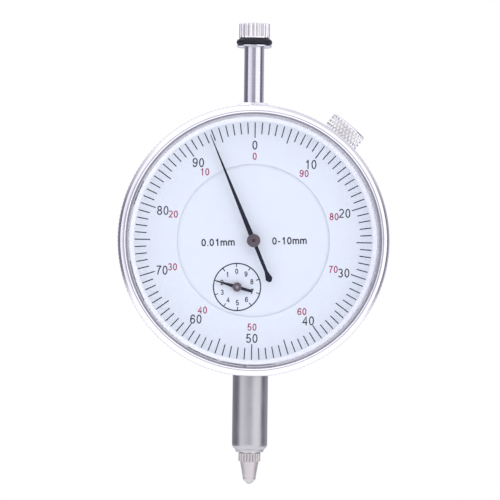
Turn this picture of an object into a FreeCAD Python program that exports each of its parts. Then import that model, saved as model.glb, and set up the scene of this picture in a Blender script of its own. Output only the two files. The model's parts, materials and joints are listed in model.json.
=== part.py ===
"""Dial indicator, 0 to 10 mm in steps of 0.01 mm, with a lug back and a bezel lock.

Millimetres. +Z is up along the spindle, the dial faces -Y, and the origin is on the spindle's axis
at the middle of the 8 mm stem. Heights are written from the dial's centre, DIAL_Z above the origin,
and depths as "front" distances: how far something lies in front of the spindle's axis, towards -Y.
A pair of front distances is (rear, front). The spindle is modelled fully raised.
"""
import FreeCAD
import Part
import math
import os

# ---------------------------------------------------------------- driving dimensions
DIAL_Z = 37.0                 # dial centre above the middle of the stem

# gear train: a rack pitch of 0.625 mm turns a 16-tooth pinion once in every 10 mm of travel
RACK_PITCH = 0.625
MODULE = RACK_PITCH / math.pi
PRESSURE_ANGLE = math.radians(20)
ADDENDUM = 1.0                # in modules, as the dedendum is
DEDENDUM = 1.25
RACK_PINION_TEETH = 16
WHEEL_TEETH = 100
CENTRE_PINION_TEETH = 10
PINION_SHIFT = 0.4            # profile shift that keeps the 10-tooth pinion from being undercut
BACKLASH = 0.045
SPINDLE_TRAVEL = 12.2
CENTRE_DISTANCE = MODULE * (WHEEL_TEETH + CENTRE_PINION_TEETH) / 2
ARBOR_X = -3.5
ARBOR_RISE = math.sqrt(CENTRE_DISTANCE ** 2 - ARBOR_X ** 2)
CENTRE_ARBOR = (0, 0)                     # carries the ten-tooth pinion and the main pointer
FIRST_ARBOR = (ARBOR_X, ARBOR_RISE)       # carries the rack pinion and the first wheel
COUNTER_ARBOR = (ARBOR_X, -ARBOR_RISE)    # carries the take-up wheel and the small pointer
RACK_LINE_X = ARBOR_X + MODULE * RACK_PINION_TEETH / 2

# case
CASE_R = 27.5
CHAMBER_R = 21.5              # movement chamber
SKIRT_BORE_R = 25.6           # the bezel's skirt runs in here
CASE_FRONTS = (-9.0, 9.9)
LEDGE_FRONT = 4.5             # step between the chamber and the skirt's bore
EDGE = 0.5                    # chamfer on the case's rear edge
LOWER_PAD_R = 5.6
UPPER_PAD_R = 5.0
PAD_HEIGHTS = (-28.0, 28.2)   # outer ends of the lower and upper pads
RETAINING_GROOVE = (7.95, 8.85)
RETAINING_GROOVE_R = 26.15

# stem, bushings and spindle
STEM_R = 4.0
STEM_SHANK_R = 3.75
STEM_TUBE_BORE_R = 3.0
STEM_SHANK_TOP = -22.2
STEM_CHAMFER_TOP = -46.0
STEM_END = -47.8
SPINDLE_R = 2.25
RUNNING_FIT = 0.04
BUSHING_BORE_R = SPINDLE_R + RUNNING_FIT
LOWER_BUSHING = (-47.5, -38.0)
UPPER_BUSHING = (21.7, 31.2)
UPPER_BUSHING_R = 3.2
UPPER_COLLAR_R = 3.75

# movement
REAR_PLATE = (2.8, 3.8)
FRONT_PLATE = (8.4, 9.2)
REAR_PLATE_R = 21.0
FRONT_PLATE_R = 23.6
PILLARS = ((13.0, 12.0), (13.0, -12.0), (-17.5, 0.0))
PILLAR_R = 1.5
POST_CIRCLE_R = 22.6
POST_ANGLES = (35, 145, 215, 325)
POST_R = 1.15
SCREW_R = 0.5
TAPPED_R = 0.55
CLEARANCE_R = 0.62
BUSH_R = 1.1
ARBOR_R = 0.8
PIVOT_R = 0.5
FINE_PIVOT_R = 0.4
PIVOT_PLAY = 0.03
RACK_PINION_FRONTS = (-1.9, 1.9)
FIRST_WHEEL = (4.5, 5.1)
COUNTER_WHEEL = (6.0, 6.6)
CENTRE_PINION_FRONTS = (4.1, 7.0)
COCK_FRONTS = (-4.0, -3.0)
COCK_R = 1.7
COCK_FOOT = (ARBOR_X - 7.6, ARBOR_RISE)

# hairspring
COLLET = (4.4, 5.1)
COLLET_R = 1.3
HAIRSPRING = (4.55, 4.95)
HAIRSPRING_THICK = 0.12
HAIRSPRING_INNER_R = COLLET_R + HAIRSPRING_THICK / 2
HAIRSPRING_OUTER_R = 6.0
HAIRSPRING_TURNS = 5
STUD_R = 0.55

# guide and return spring
GUIDE_PIN_Z = 4.0
GUIDE_PIN_R = 0.8
GUIDE_PIN_X = (0.2, 9.9)
GUIDE_BLOCK_X = (3.7, 6.7)
GUIDE_BLOCK_BACK = -2.2
GUIDE_BLOCK_HEIGHTS = (-14.2, 11.2)
GUIDE_SLOT_HEIGHTS = (-10.0, 5.6)
GUIDE_SCREWS = ((5.2, -12.4), (5.2, 9.4))
SPRING_X = 8.7
SPRING_POST_Z = -18.0
SPRING_MEAN_R = 1.1
SPRING_WIRE_R = 0.16
SPRING_HOOK_R = 0.85
SPRING_TURNS = 18
SPRING_SEAT_R = 0.55          # neck that a hook goes round

# dial and pointers
CENTRE_DISC = (10.6, 11.0)
CENTRE_DISC_R = 17.8
DIAL_FEET_CIRCLE_R = 14.5
DIAL_FEET_ANGLES = (0, 120, 240)
DIAL_RING = (11.1, 11.5)
DIAL_RING_INNER_R = 17.05
DIAL_RING_OUTER_R = 27.85
SPACER_INNER_R = 27.5
POINTER_SHEET = 0.16
MAIN_POINTER_FRONT = 12.9
COUNTER_POINTER_FRONT = 11.7
MAIN_POINTER_ANGLE = 22.8     # degrees anticlockwise of twelve o'clock, seen from the front
COUNTER_POINTER_ANGLE = 74.2
MAIN_POINTER_STATIONS = ((25.4, 0.07), (1.2, 0.55), (-1.2, 0.4), (-7.4, 0.36), (-9.2, 0.8), (-9.9, 0.3))
COUNTER_POINTER_STATIONS = ((5.2, 0.08), (1.0, 0.38), (-3.1, 0.32), (-3.45, 0.2))

# bezel group
BEZEL_R = 30.15
BEZEL_FRONTS = (10.2, 16.2)
BEZEL_LIP_R = 28.45
BEZEL_CREST_R = 28.97         # the bright face is highest here
BEZEL_ROUNDING = 1.6          # how far the face falls from its crest to the rim
BEZEL_INNER_DROP = 0.22       # and from its crest to the lip
SKIRT_R = (24.2, 25.4)
SKIRT_REAR = 4.8
SKIRT_GROOVE_R = 24.95
CRYSTAL = (14.2, 15.4)
SNAP_RING = (15.42, 15.7)
SNAP_RING_INNER_R = 27.7
SNAP_GROOVE_R = 28.8
SNAP_RING_GAP = 1.1
SNAP_RING_GAP_ANGLE = 266.5   # the gap's middle, anticlockwise from three o'clock

# bezel lock: a radial screw
LOCK_ANGLE = 50.5             # anticlockwise from three o'clock
LOCK_FRONT = 5.6
LOCK_KNOB_R = 4.35
LOCK_KNOB = (29.0, 33.8)      # distances of its ends from the dial's centre
LOCK_KNOB_EDGE = 0.5
LOCK_STUD_R = 1.5
LOCK_STUD_END = 26.45
LOCK_PAD = (26.5, 28.6)
LOCK_PAD_R = 3.6
SHOE_REST_R = SKIRT_R[1] + 0.24

# back cover and lug
COVER_R = 27.2
COVER_THICK = 1.4
COVER_BACK = CASE_FRONTS[0] - COVER_THICK
COVER_BOSS_R = 9.5
COVER_BOSS_TALL = 0.8
BOSS_BACK = COVER_BACK - COVER_BOSS_TALL
COVER_SCREW_CIRCLE_R = 24.5
COVER_SCREW_ANGLES = (45, 135, 225, 315)
LUG_HOLE_R = 3.25
LUG_HOLE_FRONT = CASE_FRONTS[0] - 7.9
LUG_END_R = 5.6
LUG_HALF_THICK = 2.5
RIVET_R = 1.2                 # the lug's two tangs, riveted over inside the cover
RIVET_HEIGHTS = (-3.2, 3.2)

# contact point, washer, rubber ring and cap
CONTACT_TOP = -48.0
CONTACT_COLLAR_R = 2.5
CONTACT_COLLAR_END = -50.0
CONTACT_CONE_R = (2.07, 1.42)
CONTACT_CONE_END = -53.95
CONTACT_SHANK_R = 1.25
CONTACT_SHANK_TALL = 4.4
BALL_R = 0.93
TIP_END = -55.15
WASHER = (43.75, 44.2)
WASHER_R = 3.95
O_RING_R = 4.04
O_RING_TOP = 45.7
CAP_TOP = 49.2
CAP_R = 3.5
CAP_EDGE = 0.35
SPIGOT_R = 1.5                # the spindle's reduced end inside the cap

OUT = "parts"
BEYOND = 1.0                  # how far a cutting tool runs past what it cuts


# ---------------------------------------------------------------- helpers
def vec(x, front, height):
    """A point from its place across, its front distance and its height over the dial's centre."""
    return FreeCAD.Vector(x, -front, height + DIAL_Z)


def along_depth(radius, fronts, at=CENTRE_ARBOR):
    """A cylinder across the dial."""
    return Part.makeCylinder(radius, fronts[1] - fronts[0], vec(at[0], fronts[0], at[1]),
                             FreeCAD.Vector(0, -1, 0))


def along_height(radius, heights):
    """A cylinder on the spindle's axis."""
    return Part.makeCylinder(radius, heights[1] - heights[0], vec(0, 0, heights[0]),
                             FreeCAD.Vector(0, 0, 1))


def along_width(radius, x_range, front, height):
    return Part.makeCylinder(radius, x_range[1] - x_range[0], vec(x_range[0], front, height),
                             FreeCAD.Vector(1, 0, 0))


def along_lock(radius, inner, outer):
    """A cylinder on the bezel lock's radial axis."""
    x, height = on_circle(1, LOCK_ANGLE)
    start = vec(inner * x, LOCK_FRONT, inner * height)
    return Part.makeCylinder(radius, outer - inner, start, FreeCAD.Vector(x, 0, height))


def block(x_range, fronts, heights):
    corner = vec(x_range[0], fronts[1], heights[0])
    return Part.makeBox(x_range[1] - x_range[0], fronts[1] - fronts[0], heights[1] - heights[0], corner)


def turned_about_depth(profile, at=CENTRE_ARBOR):
    """Revolves (radius, front) points about an axis across the dial."""
    points = [vec(at[0] + r, front, at[1]) for r, front in profile]
    face = Part.Face(Part.makePolygon(points + points[:1]))
    return face.revolve(vec(at[0], 0, at[1]), FreeCAD.Vector(0, 1, 0), 360)


def turned_about_spindle(profile):
    """Revolves (radius, height) points about the spindle's axis."""
    points = [vec(r, 0, height) for r, height in profile]
    face = Part.Face(Part.makePolygon(points + points[:1]))
    return face.revolve(vec(0, 0, 0), FreeCAD.Vector(0, 0, 1), 360)


def plate(outline, fronts):
    """A flat sheet from its outline's (x, height) points."""
    points = [vec(x, fronts[0], height) for x, height in outline]
    face = Part.Face(Part.makePolygon(points + points[:1]))
    return face.extrude(FreeCAD.Vector(0, fronts[0] - fronts[1], 0))


def on_circle(radius, degrees, centre=CENTRE_ARBOR):
    angle = math.radians(degrees)
    return (centre[0] + radius * math.cos(angle), centre[1] + radius * math.sin(angle))


def arc_points(centre, radius, start, end, steps):
    """Points along an arc, for a turned profile."""
    return [on_circle(radius, start + (end - start) * i / steps, centre) for i in range(steps + 1)]


def longer(span, more=BEYOND):
    """A span made longer at both ends, for a cutting tool."""
    return (span[0] - more, span[1] + more)


def fused(shapes):
    """One solid from solids that touch."""
    return shapes[0].fuse(shapes[1:]).removeSplitter()


def bush(at, fronts, outer_r, bore_r):
    return along_depth(outer_r, fronts, at).cut(along_depth(bore_r, longer(fronts), at))


def slotted_screw(at, seat, away, head_r, head_tall, shank_r, shank_long):
    """A slotted cheese-head screw; away is +1 if its head stands in front of the seat, or -1 behind it."""
    slot_half, slot_deep = 0.17, 0.45 * head_tall
    top = seat + away * head_tall
    head = along_depth(head_r, sorted((seat, top)), at)
    shank = along_depth(shank_r, sorted((seat, seat - away * shank_long)), at)
    fronts = sorted((top - away * slot_deep, top + away * BEYOND))
    slot = block(longer((at[0] - head_r, at[0] + head_r)), fronts, (at[1] - slot_half, at[1] + slot_half))
    return fused([head, shank]).cut(slot)


# ---------------------------------------------------------------- gear teeth
def involute(angle):
    return math.tan(angle) - angle


def tooth_outline(teeth, shift, centre, phase, flank_steps):
    """A wheel's outline with one tooth centred on the phase angle, in degrees."""
    pitch_r = MODULE * teeth / 2
    base_r = pitch_r * math.cos(PRESSURE_ANGLE)
    tip_r = pitch_r + MODULE * (ADDENDUM + shift)
    root_r = pitch_r - MODULE * (DEDENDUM - shift)
    half = (math.pi / 2 + 2 * shift * math.tan(PRESSURE_ANGLE)) / teeth - BACKLASH / 4 / pitch_r
    half_at_base = half + involute(PRESSURE_ANGLE)
    start_r = max(base_r, root_r)
    flank = [start_r + (tip_r - start_r) * i / flank_steps for i in range(flank_steps + 1)]
    sides = [(r, half_at_base - involute(math.acos(base_r / r))) for r in flank]
    if root_r < base_r:
        sides.insert(0, (root_r, half_at_base))
    outline = []
    for tooth in range(teeth):
        middle = math.radians(phase) + 2 * math.pi * tooth / teeth
        rising = [(r, middle - turn) for r, turn in sides]
        falling = [(r, middle + turn) for r, turn in reversed(sides)]
        outline += [on_circle(r, math.degrees(angle), centre) for r, angle in rising + falling]
    return outline


def direction(origin, target):
    return math.degrees(math.atan2(target[1] - origin[1], target[0] - origin[0]))


def centre_pinion_phase():
    """A tooth space of the centre pinion faces the first wheel."""
    return direction(CENTRE_ARBOR, FIRST_ARBOR) + 180 / CENTRE_PINION_TEETH


def counter_wheel_phase():
    """One of the take-up wheel's teeth fills the pinion's space that is nearest the line of centres."""
    pitch = 360 / CENTRE_PINION_TEETH
    offset = (direction(CENTRE_ARBOR, FIRST_ARBOR) - direction(CENTRE_ARBOR, COUNTER_ARBOR)) % pitch
    if offset > pitch / 2:
        offset -= pitch
    return direction(COUNTER_ARBOR, CENTRE_ARBOR) - offset * CENTRE_PINION_TEETH / WHEEL_TEETH


def rack_comb():
    """The metal milled away at the rack: all but its teeth, over the length that passes the pinion."""
    run_out = 2.5 * RACK_PITCH
    low, high = ARBOR_RISE - run_out, ARBOR_RISE + SPINDLE_TRAVEL + run_out
    outside = -SPINDLE_R - BEYOND
    tip_x = RACK_LINE_X - 0.95 * MODULE
    root_x = RACK_LINE_X + DEDENDUM * MODULE
    slope = math.tan(PRESSURE_ANGLE)
    half_tooth = RACK_PITCH / 4 - BACKLASH / 4
    tip_half = half_tooth - (RACK_LINE_X - tip_x) * slope
    root_half = half_tooth + (root_x - RACK_LINE_X) * slope
    first = math.ceil((low - ARBOR_RISE) / RACK_PITCH + 0.5)
    last = math.floor((high - ARBOR_RISE) / RACK_PITCH - 0.5)
    outline = [(outside, low), (root_x, low)]
    for number in range(first, last + 1):
        middle = ARBOR_RISE + number * RACK_PITCH
        outline += [(root_x, middle - root_half), (tip_x, middle - tip_half)]
        outline += [(tip_x, middle + tip_half), (root_x, middle + root_half)]
    outline += [(root_x, high), (outside, high)]
    return plate(outline, longer((-SPINDLE_R, SPINDLE_R)))


# ---------------------------------------------------------------- case, stem and covers
def posts():
    return [on_circle(POST_CIRCLE_R, angle) for angle in POST_ANGLES]


def cover_screw_points():
    return [on_circle(COVER_SCREW_CIRCLE_R, angle) for angle in COVER_SCREW_ANGLES]


def case_body():
    """A drum with a stepped bore, pads for the stem, the upper bushing and the lock, and four posts."""
    back, front = CASE_FRONTS
    drum = turned_about_depth([
        (CHAMBER_R, back), (CASE_R - EDGE, back), (CASE_R, back + EDGE), (CASE_R, front),
        (SKIRT_BORE_R, front), (SKIRT_BORE_R, RETAINING_GROOVE[1]),
        (RETAINING_GROOVE_R, RETAINING_GROOVE[1]), (RETAINING_GROOVE_R, RETAINING_GROOVE[0]),
        (SKIRT_BORE_R, RETAINING_GROOVE[0]), (SKIRT_BORE_R, LEDGE_FRONT), (CHAMBER_R, LEDGE_FRONT)])
    inside_wall = 24.0
    pads = [along_height(LOWER_PAD_R, (PAD_HEIGHTS[0], -inside_wall)),
            along_height(UPPER_PAD_R, (inside_wall, PAD_HEIGHTS[1])),
            along_lock(LOCK_PAD_R, *LOCK_PAD)]
    hollows = [along_depth(CHAMBER_R, (back, LEDGE_FRONT)), along_depth(SKIRT_BORE_R, (LEDGE_FRONT, front))]
    pads = [pad.cut(hollows) for pad in pads]
    standing = [along_depth(POST_R, (LEDGE_FRONT - BEYOND, FRONT_PLATE[0]), at) for at in posts()]
    cover_tapping_r, tapped_deep = 0.85, 5.0
    holes = [along_height(STEM_SHANK_R, (PAD_HEIGHTS[0] - BEYOND, -CHAMBER_R + BEYOND)),
             along_height(UPPER_BUSHING_R, (CHAMBER_R - BEYOND, PAD_HEIGHTS[1] + BEYOND)),
             along_lock(LOCK_STUD_R + 0.06, inside_wall, LOCK_PAD[1] + BEYOND)]
    holes += [along_depth(TAPPED_R, (LEDGE_FRONT - 0.5, FRONT_PLATE[0] + BEYOND), at) for at in posts()]
    holes += [along_depth(cover_tapping_r, (back - BEYOND, back + tapped_deep), at)
              for at in cover_screw_points()]
    return fused([drum] + pads + standing).cut(holes)


def stem():
    """Hardened tube that a holder clamps; its lower edge is rounded over."""
    rounding = arc_points((STEM_R - 1.4, STEM_CHAMFER_TOP), 1.4, 0, -60, 4)
    return turned_about_spindle(
        [(STEM_TUBE_BORE_R, STEM_SHANK_TOP), (STEM_SHANK_R, STEM_SHANK_TOP),
         (STEM_SHANK_R, PAD_HEIGHTS[0]), (STEM_R, PAD_HEIGHTS[0])]
        + rounding + [(STEM_TUBE_BORE_R + 0.1, STEM_END), (STEM_TUBE_BORE_R, STEM_END + 0.1)])


def lower_bushing():
    low, high = LOWER_BUSHING
    return turned_about_spindle([(BUSHING_BORE_R, high), (STEM_TUBE_BORE_R, high),
                                 (STEM_TUBE_BORE_R, low), (BUSHING_BORE_R, low)])


def upper_bushing():
    """Guide bush with a chamfered collar that stands just above the bezel."""
    low, high = UPPER_BUSHING
    edge = 0.7
    return turned_about_spindle([
        (BUSHING_BORE_R, low), (UPPER_BUSHING_R, low), (UPPER_BUSHING_R, PAD_HEIGHTS[1]),
        (UPPER_COLLAR_R, PAD_HEIGHTS[1]), (UPPER_COLLAR_R, high - edge),
        (UPPER_COLLAR_R - edge, high), (BUSHING_BORE_R, high)])


def rivet_points():
    return [(0, height) for height in RIVET_HEIGHTS]


def back_cover():
    """Round cover with a low boss in its middle, where the lug stands."""
    seat, rim_edge = CASE_FRONTS[0], 0.6
    disc = turned_about_depth([
        (0, seat), (COVER_R, seat), (COVER_R, COVER_BACK + rim_edge), (COVER_R - rim_edge, COVER_BACK),
        (COVER_BOSS_R, COVER_BACK), (COVER_BOSS_R - COVER_BOSS_TALL, BOSS_BACK), (0, BOSS_BACK)])
    through = longer((BOSS_BACK, seat))
    holes = [along_depth(1.05, through, at) for at in cover_screw_points()]
    holes += [along_depth(RIVET_R, through, at) for at in rivet_points()]
    return disc.cut(holes)


def mounting_lug():
    """Lug riveted to the cover; its plane holds the spindle's axis."""
    thickness, seat, head_tall = (-LUG_HALF_THICK, LUG_HALF_THICK), CASE_FRONTS[0], 0.5
    body = block(thickness, (LUG_HOLE_FRONT, BOSS_BACK), (-LUG_END_R, LUG_END_R))
    end = along_width(LUG_END_R, thickness, LUG_HOLE_FRONT, 0)
    tangs = [along_depth(RIVET_R, (BOSS_BACK - BEYOND, seat + head_tall), at) for at in rivet_points()]
    heads = [along_depth(1.5 * RIVET_R, (seat, seat + head_tall), at) for at in rivet_points()]
    lug = fused([body, end] + tangs + heads)
    return lug.cut(along_width(LUG_HOLE_R, longer(thickness), LUG_HOLE_FRONT, 0))


def back_cover_screws():
    return Part.makeCompound([slotted_screw(at, COVER_BACK, -1, 1.75, 0.9, 0.8, 5.4)
                              for at in cover_screw_points()])


def bezel_retaining_ring():
    """Split ring in the case's groove; it lets the bezel turn and keeps it on."""
    inner_r, outer_r, play = 25.05, 26.1, 0.1
    rear, front = RETAINING_GROOVE[0] + play, RETAINING_GROOVE[1] - play
    ring = turned_about_depth([(inner_r, rear), (outer_r, rear), (outer_r, front), (inner_r, front)])
    return ring.cut(block((-2, 2), longer((rear, front)), (inner_r - 5, outer_r + 5)))


# ---------------------------------------------------------------- movement
def train():
    return (CENTRE_ARBOR, FIRST_ARBOR, COUNTER_ARBOR)


def dial_feet():
    return [on_circle(DIAL_FEET_CIRCLE_R, angle) for angle in DIAL_FEET_ANGLES]


def front_plate():
    through = longer(FRONT_PLATE)
    holes = [along_depth(CLEARANCE_R, through, at) for at in (*posts(), *PILLARS)]
    holes += [along_depth(BUSH_R, through, at) for at in train()]
    holes += [along_depth(CLEARANCE_R, through, at) for at in dial_feet()]
    return along_depth(FRONT_PLATE_R, FRONT_PLATE).cut(holes)


def rear_plate():
    through = longer(REAR_PLATE)
    holes = [along_depth(CLEARANCE_R, through, at) for at in (*PILLARS, COCK_FOOT, *GUIDE_SCREWS)]
    holes += [along_depth(BUSH_R, through, at) for at in train()]
    holes.append(along_depth(0.7, through, (SPRING_X, SPRING_POST_Z)))
    return along_depth(REAR_PLATE_R, REAR_PLATE).cut(holes)


def movement_pillars():
    span = (REAR_PLATE[1], FRONT_PLATE[0])
    return Part.makeCompound([bush(at, span, PILLAR_R, TAPPED_R) for at in PILLARS])


def pillar_screws():
    """One pair of screws to each pillar, from the front and from the rear."""
    front = [slotted_screw(at, FRONT_PLATE[1], 1, 1.25, 0.7, SCREW_R, 2.2) for at in PILLARS]
    rear = [slotted_screw(at, REAR_PLATE[0], -1, 1.25, 0.7, SCREW_R, 2.2) for at in PILLARS]
    return Part.makeCompound(front + rear)


def plate_screws():
    return Part.makeCompound([slotted_screw(at, FRONT_PLATE[1], 1, 1.0, 0.8, SCREW_R, 4.0) for at in posts()])


def pinion_cock():
    """Bridge behind the rack pinion, carrying the rear pivot of the first arbor."""
    post = along_depth(COCK_R, (COCK_FRONTS[0], REAR_PLATE[0]), COCK_FOOT)
    bar = block((COCK_FOOT[0], ARBOR_X), COCK_FRONTS, (ARBOR_RISE - COCK_R, ARBOR_RISE + COCK_R))
    end = along_depth(COCK_R, COCK_FRONTS, FIRST_ARBOR)
    holes = [along_depth(CLEARANCE_R, longer((COCK_FRONTS[0], REAR_PLATE[0])), COCK_FOOT),
             along_depth(BUSH_R, longer(COCK_FRONTS), FIRST_ARBOR)]
    return fused([post, bar, end]).cut(holes)


def cock_screw():
    return slotted_screw(COCK_FOOT, COCK_FRONTS[0], -1, 1.25, 0.7, SCREW_R, 7.4)


def arbor_bushings():
    """Seven bearing bushes, pressed into the plates and the cock."""
    pivots = ((FIRST_ARBOR, PIVOT_R), (COUNTER_ARBOR, PIVOT_R), (CENTRE_ARBOR, FINE_PIVOT_R))
    seats = [(at, fronts, r) for at, r in pivots for fronts in (REAR_PLATE, FRONT_PLATE)]
    seats.append((FIRST_ARBOR, COCK_FRONTS, FINE_PIVOT_R))
    return Part.makeCompound([bush(at, fronts, BUSH_R, r + PIVOT_PLAY) for at, fronts, r in seats])


def wheel(centre, phase, fronts):
    """A 100-tooth wheel with four round windows, on an arbor."""
    outline = tooth_outline(WHEEL_TEETH, -PINION_SHIFT, centre, phase, 2)
    window_r, window_circle_r = 2.5, 5.6
    holes = [along_depth(window_r, longer(fronts), on_circle(window_circle_r, angle, centre))
             for angle in (45, 135, 225, 315)]
    holes.append(along_depth(ARBOR_R, longer(fronts), centre))
    return plate(outline, fronts).cut(holes)


def first_wheel():
    return wheel(FIRST_ARBOR, direction(FIRST_ARBOR, CENTRE_ARBOR), FIRST_WHEEL)


def counter_wheel():
    return wheel(COUNTER_ARBOR, counter_wheel_phase(), COUNTER_WHEEL)


def shoulder():
    """The thick middle of an arbor, between the plates, with end play."""
    return (REAR_PLATE[1] + 0.1, FRONT_PLATE[0] - 0.1)


def rack_pinion():
    """Sixteen-tooth pinion cut on its own arbor; a space faces the rack."""
    outline = tooth_outline(RACK_PINION_TEETH, 0, FIRST_ARBOR, 180 / RACK_PINION_TEETH, 4)
    rear, front = RACK_PINION_FRONTS
    return fused([plate(outline, RACK_PINION_FRONTS),
                  along_depth(PIVOT_R, (front, FRONT_PLATE[1]), FIRST_ARBOR),
                  along_depth(ARBOR_R, shoulder(), FIRST_ARBOR),
                  along_depth(FINE_PIVOT_R, (COCK_FRONTS[0], rear), FIRST_ARBOR)])


def centre_pinion():
    """Ten-tooth pinion on the arbor that carries the main pointer."""
    outline = tooth_outline(CENTRE_PINION_TEETH, PINION_SHIFT, CENTRE_ARBOR, centre_pinion_phase(), 4)
    arbor_end = MAIN_POINTER_FRONT + 0.5
    return fused([plate(outline, CENTRE_PINION_FRONTS),
                  along_depth(FINE_PIVOT_R, (REAR_PLATE[0], arbor_end)),
                  along_depth(ARBOR_R - 0.1, (CENTRE_PINION_FRONTS[1], shoulder()[1]))])


def counter_arbor():
    neck = (COUNTER_POINTER_FRONT - 0.1, COUNTER_POINTER_FRONT + 0.5)
    return fused([along_depth(PIVOT_R, (REAR_PLATE[0], neck[0]), COUNTER_ARBOR),
                  along_depth(ARBOR_R, shoulder(), COUNTER_ARBOR),
                  along_depth(0.32, neck, COUNTER_ARBOR)])


def hairspring_collet():
    return bush(COUNTER_ARBOR, COLLET, COLLET_R, ARBOR_R)


def hairspring():
    """Flat spiral that holds the train against one flank of its teeth."""
    steps = 24 * HAIRSPRING_TURNS
    inner, outer = [], []
    for i in range(steps + 1):
        radius = HAIRSPRING_INNER_R + (HAIRSPRING_OUTER_R - HAIRSPRING_INNER_R) * i / steps
        angle = 360 * HAIRSPRING_TURNS * i / steps
        inner.append(on_circle(radius - HAIRSPRING_THICK / 2, angle, COUNTER_ARBOR))
        outer.append(on_circle(radius + HAIRSPRING_THICK / 2, angle, COUNTER_ARBOR))
    return plate(inner + outer[::-1], HAIRSPRING)


def hairspring_stud():
    """Pin on the rear plate that anchors the hairspring's outer end."""
    at = (ARBOR_X + HAIRSPRING_OUTER_R + HAIRSPRING_THICK / 2 + STUD_R + 0.01, -ARBOR_RISE)
    return along_depth(STUD_R, (REAR_PLATE[1], HAIRSPRING[1] + 0.35), at)


# ---------------------------------------------------------------- spindle and what rides on it
def spindle():
    """The rod with its rack, the socket for the contact point and the spigot for the cap."""
    shoulder_top = CAP_TOP - 1.2
    rod = turned_about_spindle([(0, CONTACT_TOP), (SPINDLE_R, CONTACT_TOP), (SPINDLE_R, O_RING_TOP),
                                (SPIGOT_R, O_RING_TOP), (SPIGOT_R, shoulder_top), (0, shoulder_top)])
    socket = along_height(CONTACT_SHANK_R, (CONTACT_TOP - BEYOND, CONTACT_TOP + CONTACT_SHANK_TALL + 0.2))
    pin_hole = along_width(GUIDE_PIN_R, (GUIDE_PIN_X[0], SPINDLE_R + BEYOND), 0, GUIDE_PIN_Z)
    return rod.cut([rack_comb(), socket, pin_hole])


def contact_ball():
    return Part.makeSphere(BALL_R, vec(0, 0, TIP_END + BALL_R))


def contact_point():
    """Threaded shank, gripping collar and cone; the cone's end is chamfered and holds the ball."""
    shank_r, edge, chamfer = CONTACT_SHANK_R - 0.02, 0.15, 0.45
    cone_top_r, cone_end_r = CONTACT_CONE_R
    nose_end = CONTACT_CONE_END - chamfer
    profile = [(0, CONTACT_TOP + CONTACT_SHANK_TALL), (shank_r, CONTACT_TOP + CONTACT_SHANK_TALL),
               (shank_r, CONTACT_TOP), (CONTACT_COLLAR_R - edge, CONTACT_TOP),
               (CONTACT_COLLAR_R, CONTACT_TOP - edge), (CONTACT_COLLAR_R, CONTACT_COLLAR_END + 2 * edge),
               (cone_top_r, CONTACT_COLLAR_END), (cone_end_r, CONTACT_CONE_END),
               (cone_end_r - chamfer, nose_end), (0, nose_end)]
    return turned_about_spindle(profile).cut(contact_ball())


def spindle_cap():
    """Head that lifts the spindle by hand, screwed on the spigot."""
    lower_edge = 0.2
    head = turned_about_spindle([
        (0, O_RING_TOP), (CAP_R - lower_edge, O_RING_TOP), (CAP_R, O_RING_TOP + lower_edge),
        (CAP_R, CAP_TOP - CAP_EDGE), (CAP_R - CAP_EDGE, CAP_TOP), (0, CAP_TOP)])
    return head.cut(along_height(SPIGOT_R + 0.02, (O_RING_TOP - BEYOND, CAP_TOP - 1.1)))


def cap_o_ring():
    """Rubber ring that cushions the cap when the spindle drops, squeezed a little flat."""
    inner_r, half = SPINDLE_R + 0.01, (O_RING_TOP - WASHER[1]) / 2
    outside = arc_points((O_RING_R - half, WASHER[1] + half), half, -90, 90, 8)
    return turned_about_spindle([(inner_r, WASHER[1])] + outside + [(inner_r, O_RING_TOP)])


def cap_washer():
    low, high = WASHER
    inner_r, edge = SPINDLE_R + 0.02, 0.2
    return turned_about_spindle([(inner_r, low), (WASHER_R - edge, low), (WASHER_R, low + edge),
                                 (WASHER_R, high), (inner_r, high)])


def guide_pin():
    """Cross pin that keeps the spindle from turning and takes the return spring's upper hook."""
    pin = along_width(GUIDE_PIN_R, GUIDE_PIN_X, 0, GUIDE_PIN_Z)
    groove = (SPRING_X - 0.35, SPRING_X + 0.35)
    ring = along_width(GUIDE_PIN_R + BEYOND, groove, 0, GUIDE_PIN_Z)
    return pin.cut(ring.cut(along_width(SPRING_SEAT_R, longer(groove), 0, GUIDE_PIN_Z)))


def guide_block():
    """Rail on the rear plate whose slot guides the cross pin."""
    body = block(GUIDE_BLOCK_X, (GUIDE_BLOCK_BACK, REAR_PLATE[0]), GUIDE_BLOCK_HEIGHTS)
    slot_half = GUIDE_PIN_R + RUNNING_FIT
    slot = block(longer(GUIDE_BLOCK_X), (-slot_half, slot_half), GUIDE_SLOT_HEIGHTS)
    holes = [along_depth(TAPPED_R, (-1.2, REAR_PLATE[0] + BEYOND), at) for at in GUIDE_SCREWS]
    return body.cut([slot] + holes)


def guide_block_screws():
    return Part.makeCompound([slotted_screw(at, REAR_PLATE[1], 1, 0.85, 0.4, SCREW_R, 4.6)
                              for at in GUIDE_SCREWS])


def spring_post():
    """Stepped post on the rear plate, with a neck for the spring's lower hook."""
    at = (SPRING_X, SPRING_POST_Z)
    return fused([along_depth(0.7, REAR_PLATE, at), along_depth(1.1, (1.0, REAR_PLATE[0]), at),
                  along_depth(SPRING_SEAT_R, (-1.6, 1.0), at), along_depth(0.9, (-1.6, -1.0), at)])


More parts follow.
